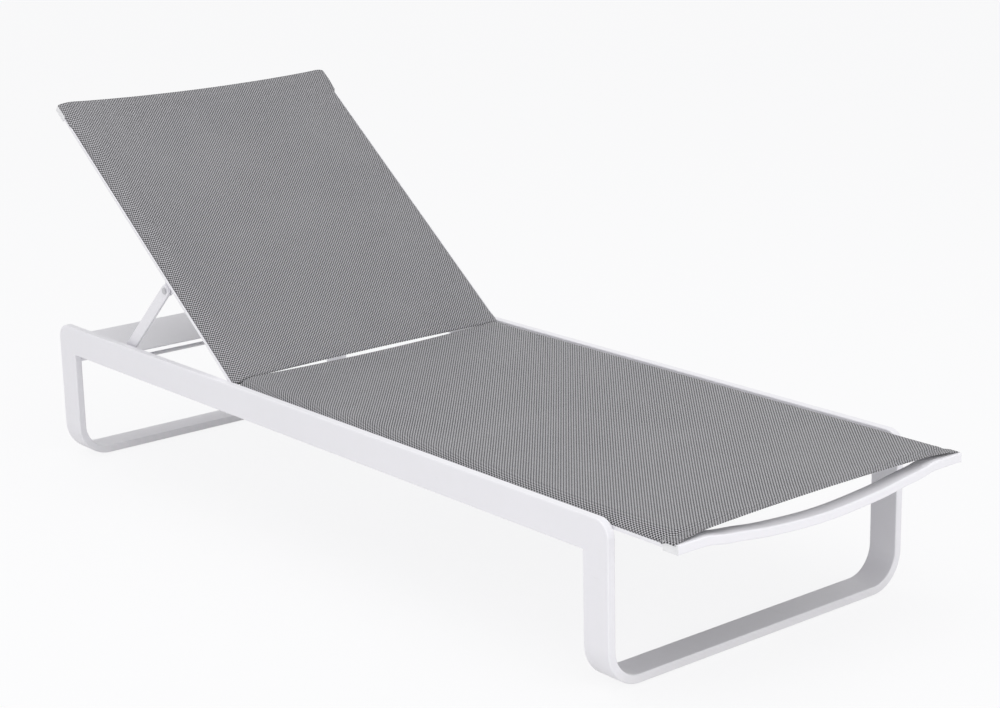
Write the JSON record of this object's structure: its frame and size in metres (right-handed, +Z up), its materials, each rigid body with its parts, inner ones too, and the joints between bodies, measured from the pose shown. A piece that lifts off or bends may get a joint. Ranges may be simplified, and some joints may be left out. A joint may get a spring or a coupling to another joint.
{
  "type": "sun lounger",
  "caption": "Low sun lounger with stretched mesh seat, reclining mesh backrest on a notched prop, flat-tube side rails and U-shaped leg loops.",
  "frame": {"origin": "floor level under the middle of the lounger with the backrest in the pictured notch", "axes": "+X towards the foot end, +Y towards the left side of a person lying on it, +Z up"},
  "size_m": [1.868, 0.705, 0.7658],
  "materials": {
    "frame_paint": "white powder coat, fine satin texture",
    "mesh_fabric": "open two-tone grey vinyl-coated mesh",
    "edge_cord": "moulded",
    "foot_pads": "moulded",
    "tube_plugs": "moulded",
    "bar_plugs": "moulded",
    "steel_fasteners": "zinc plated",
    "rivets": "plain",
    "washers": "moulded",
    "rod_steel": "drawn"
  },
  "bodies": {
    "frame": {"foot_bar_plug_left": "bar_plugs", "foot_bar_plug_right": "bar_plugs", "foot_crossbar": "frame_paint", "front_foot_pad_left": "foot_pads", "front_foot_pad_right": "foot_pads", "front_leg_loop": "frame_paint", "hinge_pin_left": "steel_fasteners", "hinge_pin_right": "steel_fasteners", "plate_screws": "steel_fasteners", "rack_left": "frame_paint", "rack_right": "frame_paint", "rack_rivets": "rivets", "rear_crossbar": "frame_paint", "rear_foot_pad_left": "foot_pads", "rear_foot_pad_right": "foot_pads", "rear_leg_loop": "frame_paint", "rear_plate": "frame_paint", "seat_bolts": "steel_fasteners", "seat_brackets": "frame_paint", "seat_edge_cord_left": "edge_cord", "seat_edge_cord_right": "edge_cord", "seat_hinge_plate_left": "frame_paint", "seat_hinge_plate_right": "frame_paint", "seat_hinge_screws": "steel_fasteners", "seat_sling": "mesh_fabric", "seat_spreader_1": "frame_paint", "seat_spreader_2": "frame_paint", "seat_tube_left": "frame_paint", "seat_tube_plug_left": "tube_plugs", "seat_tube_plug_right": "tube_plugs", "seat_tube_right": "frame_paint", "side_rail_left": "frame_paint", "side_rail_right": "frame_paint"},
    "backrest": {"back_edge_cord_left": "edge_cord", "back_edge_cord_right": "edge_cord", "back_hinge_plate_left": "frame_paint", "back_hinge_plate_right": "frame_paint", "back_hinge_screws": "steel_fasteners", "back_sling": "mesh_fabric", "back_spreader": "frame_paint", "back_tube_left": "frame_paint", "back_tube_plug_left": "tube_plugs", "back_tube_plug_right": "tube_plugs", "back_tube_right": "frame_paint", "bracket_rivets": "rivets", "head_bar_plug_left": "bar_plugs", "head_bar_plug_right": "bar_plugs", "head_crossbar": "frame_paint", "pivot_pin_left": "steel_fasteners", "pivot_pin_right": "steel_fasteners", "prop_bracket_left": "frame_paint", "prop_bracket_right": "frame_paint"},
    "prop": {"pivot_washer_left": "washers", "pivot_washer_right": "washers", "prop_rod": "rod_steel", "prop_strut_left": "frame_paint", "prop_strut_right": "frame_paint"}
  },
  "joints": [
    {"name": "backrest_tilt", "type": "hinge", "parent": "frame", "child": "backrest", "pos_m": [-0.2875, 0, 0.281], "axis": [0, 1, 0], "range_deg": [-37.6, 17.5]},
    {"name": "prop_swing", "type": "hinge", "parent": "backrest", "child": "prop", "pos_m": [-0.53599, 0, 0.42806], "axis": [0, 1, 0], "range_deg": [-39, 83.6]}
  ],
  "couplings": [
    {"joint": "prop_swing", "follows": "backrest_tilt", "ratio": -2.22}
  ]
}
